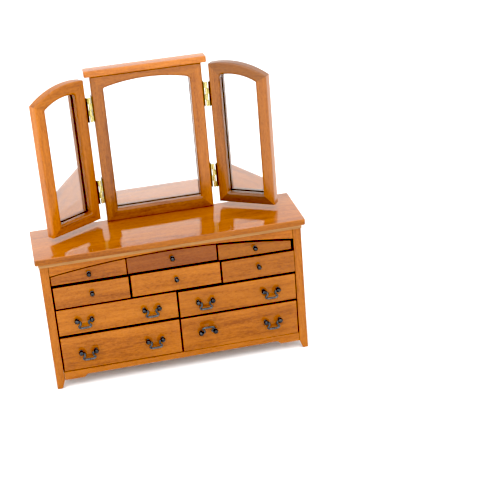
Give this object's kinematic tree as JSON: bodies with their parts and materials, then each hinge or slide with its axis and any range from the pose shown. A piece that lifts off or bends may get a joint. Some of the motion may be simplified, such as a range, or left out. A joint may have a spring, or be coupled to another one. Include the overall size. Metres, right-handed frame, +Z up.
{
  "type": "miniature dressing table",
  "caption": "Dolls house dressing table: a low chest of knobbed and bail-handled drawers on short tapered feet, with a fixed framed mirror on top and a folding mirror wing hinged on each side.",
  "frame": {"origin": "on the ground under the middle of the piece's overall box", "axes": "+Z up, the drawer fronts and mirrors face -Y, +X to the viewer's right"},
  "size_m": [0.125, 0.039, 0.142],
  "materials": {
    "polished_wood": "satin varnish over honey brown stain",
    "inner_wood": "stained, unpolished",
    "raw_wood": "bare sanded wood",
    "mirror_glass": "silvered mirror glass",
    "brass": "bright brass",
    "dark_bronze": "dark bronze plated, polished"
  },
  "bodies": {
    "case": {"table_top": "polished_wood", "left_side": "polished_wood", "right_side": "polished_wood", "top_rail": "polished_wood", "apron_rail": "polished_wood", "drawer_dividers": "inner_wood", "bottom_board": "inner_wood", "back_panel": "inner_wood", "mirror_frame": "polished_wood", "mirror_glass": "mirror_glass", "mirror_backing": "inner_wood", "mirror_cap": "polished_wood", "left_wing_lower_hinge_base": "brass", "left_wing_upper_hinge_base": "brass", "right_wing_lower_hinge_base": "brass", "right_wing_upper_hinge_base": "brass"},
    "left_wing": {"left_wing_frame": "polished_wood", "left_wing_glass": "mirror_glass", "left_wing_backing": "inner_wood", "left_wing_lower_hinge_leaf": "brass", "left_wing_upper_hinge_leaf": "brass"},
    "right_wing": {"right_wing_frame": "polished_wood", "right_wing_glass": "mirror_glass", "right_wing_backing": "inner_wood", "right_wing_lower_hinge_leaf": "brass", "right_wing_upper_hinge_leaf": "brass"},
    "bottom_left_bail_1": {"bottom_left_bail_1": "dark_bronze"},
    "bottom_left_bail_2": {"bottom_left_bail_2": "dark_bronze"},
    "bottom_left_drawer": {"bottom_left_front": "polished_wood", "bottom_left_box": "raw_wood"},
    "bottom_right_bail_1": {"bottom_right_bail_1": "dark_bronze"},
    "bottom_right_bail_2": {"bottom_right_bail_2": "dark_bronze"},
    "bottom_right_drawer": {"bottom_right_front": "polished_wood", "bottom_right_box": "raw_wood"},
    "lower_left_bail_1": {"lower_left_bail_1": "dark_bronze"},
    "lower_left_bail_2": {"lower_left_bail_2": "dark_bronze"},
    "lower_left_drawer": {"lower_left_front": "polished_wood", "lower_left_box": "raw_wood"},
    "lower_right_bail_1": {"lower_right_bail_1": "dark_bronze"},
    "lower_right_bail_2": {"lower_right_bail_2": "dark_bronze"},
    "lower_right_drawer": {"lower_right_front": "polished_wood", "lower_right_box": "raw_wood"},
    "upper_left_drawer": {"upper_left_front": "polished_wood", "upper_left_box": "raw_wood", "upper_left_knob": "dark_bronze"},
    "upper_centre_drawer": {"upper_centre_front": "polished_wood", "upper_centre_box": "raw_wood", "upper_centre_knob": "dark_bronze"},
    "upper_right_drawer": {"upper_right_front": "polished_wood", "upper_right_box": "raw_wood", "upper_right_knob": "dark_bronze"},
    "top_left_drawer": {"top_left_front": "polished_wood", "top_left_box": "raw_wood", "top_left_knob": "dark_bronze"},
    "top_centre_drawer": {"top_centre_front": "polished_wood", "top_centre_box": "raw_wood", "top_centre_knob": "dark_bronze"},
    "top_right_drawer": {"top_right_front": "polished_wood", "top_right_box": "raw_wood", "top_right_knob": "dark_bronze"}
  },
  "joints": [
    {"name": "bottom_left_slide", "type": "slide", "parent": "case", "child": "bottom_left_drawer", "axis": [0, -1, 0], "range_m": [0, 0.022]},
    {"name": "bottom_right_slide", "type": "slide", "parent": "case", "child": "bottom_right_drawer", "axis": [0, -1, 0], "range_m": [0, 0.022]},
    {"name": "lower_left_slide", "type": "slide", "parent": "case", "child": "lower_left_drawer", "axis": [0, -1, 0], "range_m": [0, 0.022]},
    {"name": "lower_right_slide", "type": "slide", "parent": "case", "child": "lower_right_drawer", "axis": [0, -1, 0], "range_m": [0, 0.022]},
    {"name": "upper_left_slide", "type": "slide", "parent": "case", "child": "upper_left_drawer", "axis": [0, -1, 0], "range_m": [0, 0.022]},
    {"name": "upper_centre_slide", "type": "slide", "parent": "case", "child": "upper_centre_drawer", "axis": [0, -1, 0], "range_m": [0, 0.022]},
    {"name": "upper_right_slide", "type": "slide", "parent": "case", "child": "upper_right_drawer", "axis": [0, -1, 0], "range_m": [0, 0.022]},
    {"name": "top_left_slide", "type": "slide", "parent": "case", "child": "top_left_drawer", "axis": [0, -1, 0], "range_m": [0, 0.022]},
    {"name": "top_centre_slide", "type": "slide", "parent": "case", "child": "top_centre_drawer", "axis": [0, -1, 0], "range_m": [0, 0.022]},
    {"name": "top_right_slide", "type": "slide", "parent": "case", "child": "top_right_drawer", "axis": [0, -1, 0], "range_m": [0, 0.022]},
    {"name": "bottom_left_bail_1_swing", "type": "hinge", "parent": "bottom_left_drawer", "child": "bottom_left_bail_1", "pos_m": [-0.04398, -0.01761, 0.01784], "axis": [-1, 0, 0], "range_deg": [-20, 200]},
    {"name": "bottom_left_bail_2_swing", "type": "hinge", "parent": "bottom_left_drawer", "child": "bottom_left_bail_2", "pos_m": [-0.01257, -0.01761, 0.01784], "axis": [-1, 0, 0], "range_deg": [-20, 200]},
    {"name": "bottom_right_bail_1_swing", "type": "hinge", "parent": "bottom_right_drawer", "child": "bottom_right_bail_1", "pos_m": [0.01268, -0.01761, 0.01762], "axis": [-1, 0, 0], "range_deg": [-178, 42]},
    {"name": "bottom_right_bail_2_swing", "type": "hinge", "parent": "bottom_right_drawer", "child": "bottom_right_bail_2", "pos_m": [0.04408, -0.01761, 0.01762], "axis": [-1, 0, 0], "range_deg": [-20, 200]},
    {"name": "lower_left_bail_1_swing", "type": "hinge", "parent": "lower_left_drawer", "child": "lower_left_bail_1", "pos_m": [-0.04398, -0.01761, 0.03433], "axis": [-1, 0, 0], "range_deg": [-20, 200]},
    {"name": "lower_left_bail_2_swing", "type": "hinge", "parent": "lower_left_drawer", "child": "lower_left_bail_2", "pos_m": [-0.01257, -0.01761, 0.03433], "axis": [-1, 0, 0], "range_deg": [-20, 200]},
    {"name": "lower_right_bail_1_swing", "type": "hinge", "parent": "lower_right_drawer", "child": "lower_right_bail_1", "pos_m": [0.01277, -0.01761, 0.03383], "axis": [-1, 0, 0], "range_deg": [-20, 200]},
    {"name": "lower_right_bail_2_swing", "type": "hinge", "parent": "lower_right_drawer", "child": "lower_right_bail_2", "pos_m": [0.04417, -0.01761, 0.03383], "axis": [-1, 0, 0], "range_deg": [-20, 200]},
    {"name": "left_wing_fold", "type": "hinge", "parent": "case", "child": "left_wing", "pos_m": [-0.02695, 0.01299, 0.11], "axis": [0, 0, 1], "range_deg": [-33, 120]},
    {"name": "right_wing_fold", "type": "hinge", "parent": "case", "child": "right_wing", "pos_m": [0.02695, 0.01299, 0.11], "axis": [0, 0, -1], "range_deg": [-33, 120]}
  ]
}
